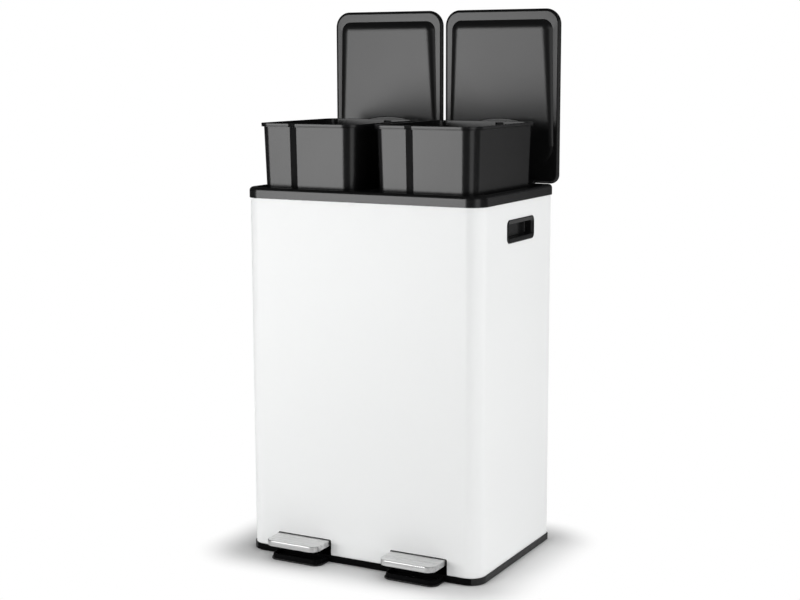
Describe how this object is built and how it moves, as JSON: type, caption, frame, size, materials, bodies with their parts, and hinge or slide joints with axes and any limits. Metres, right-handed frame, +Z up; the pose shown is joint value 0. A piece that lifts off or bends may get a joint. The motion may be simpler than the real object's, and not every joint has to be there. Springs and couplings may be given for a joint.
{
  "type": "double recycling bin",
  "caption": "Pedal bin for sorted waste: painted steel cabinet, black rim, lift-out inner buckets and domed lids, each raised by its own foot pedal through a lever and push rod",
  "frame": {"origin": "on the floor, below the middle of the object's outline with both lids open", "axes": "+Z up; the front with the pedals faces -Y; +X is to the right of someone who faces the front"},
  "size_m": [0.44, 0.3714, 0.9237],
  "materials": {
    "white_paint": "smooth satin white powder coat",
    "black_plastic": "black moulded plastic, fine satin grain",
    "brushed_steel": "stainless steel brushed along the width",
    "zinc_steel": "zinc-plated steel",
    "rubber": "matt black rubber"
  },
  "bodies": {
    "cabinet": {"body_shell": "white_paint", "top_ring": "black_plastic", "base_tray": "black_plastic", "side_grip_left": "black_plastic", "side_grip_right": "black_plastic", "rod_guide_lower_left": "black_plastic", "rod_guide_lower_right": "black_plastic", "rod_guide_upper_left": "black_plastic", "rod_guide_upper_right": "black_plastic", "foot_pad_front_left": "rubber", "foot_pad_front_right": "rubber", "foot_pad_rear_left": "rubber", "foot_pad_rear_right": "rubber", "pedal_axle_left": "zinc_steel", "pedal_axle_right": "zinc_steel", "lid_hinge_pin_left": "zinc_steel", "lid_hinge_pin_right": "zinc_steel"},
    "lid_left": {"lid_cover_left": "black_plastic", "lid_liner_left": "black_plastic"},
    "inner_bucket_left": {"bucket_left": "black_plastic"},
    "pedal_left": {"pedal_tread_left": "brushed_steel", "pedal_lever_left": "zinc_steel"},
    "rod_left": {"push_rod_left": "zinc_steel", "push_rod_cap_left": "black_plastic", "push_rod_spring_left": "zinc_steel"},
    "lid_right": {"lid_cover_right": "black_plastic", "lid_liner_right": "black_plastic"},
    "inner_bucket_right": {"bucket_right": "black_plastic"},
    "pedal_right": {"pedal_tread_right": "brushed_steel", "pedal_lever_right": "zinc_steel"},
    "rod_right": {"push_rod_right": "zinc_steel", "push_rod_cap_right": "black_plastic", "push_rod_spring_right": "zinc_steel"}
  },
  "joints": [
    {"name": "lid_hinge_left", "type": "hinge", "parent": "cabinet", "child": "lid_left", "pos_m": [-0.1084, 0.16035, 0.6226], "axis": [-1, 0, 0], "range_deg": [-90, 0]},
    {"name": "bucket_lift_left", "type": "slide", "parent": "cabinet", "child": "inner_bucket_left", "axis": [0, 0, 1], "range_m": [-0.1386, 0]},
    {"name": "pedal_hinge_left", "type": "hinge", "parent": "cabinet", "child": "pedal_left", "pos_m": [-0.109, -0.05475, 0.025], "axis": [1, 0, 0], "range_deg": [0, 8.38]},
    {"name": "rod_slide_left", "type": "slide", "parent": "cabinet", "child": "rod_left", "axis": [0, 0, 1], "range_m": [0, 0.0284], "deforming": ["push_rod_spring_left"]},
    {"name": "lid_hinge_right", "type": "hinge", "parent": "cabinet", "child": "lid_right", "pos_m": [0.1084, 0.16035, 0.6226], "axis": [-1, 0, 0], "range_deg": [-90, 0]},
    {"name": "bucket_lift_right", "type": "slide", "parent": "cabinet", "child": "inner_bucket_right", "axis": [0, 0, 1], "range_m": [-0.1386, 0]},
    {"name": "pedal_hinge_right", "type": "hinge", "parent": "cabinet", "child": "pedal_right", "pos_m": [0.109, -0.05475, 0.025], "axis": [1, 0, 0], "range_deg": [0, 8.38]},
    {"name": "rod_slide_right", "type": "slide", "parent": "cabinet", "child": "rod_right", "axis": [0, 0, 1], "range_m": [0, 0.0284], "deforming": ["push_rod_spring_right"]}
  ],
  "couplings": [
    {"joint": "bucket_lift_left", "follows": "lid_hinge_left", "m_per_rad": 0.08823},
    {"joint": "rod_slide_left", "follows": "pedal_hinge_left", "m_per_rad": 0.1935},
    {"joint": "bucket_lift_right", "follows": "lid_hinge_right", "m_per_rad": 0.08823},
    {"joint": "rod_slide_right", "follows": "pedal_hinge_right", "m_per_rad": 0.1935}
  ]
}
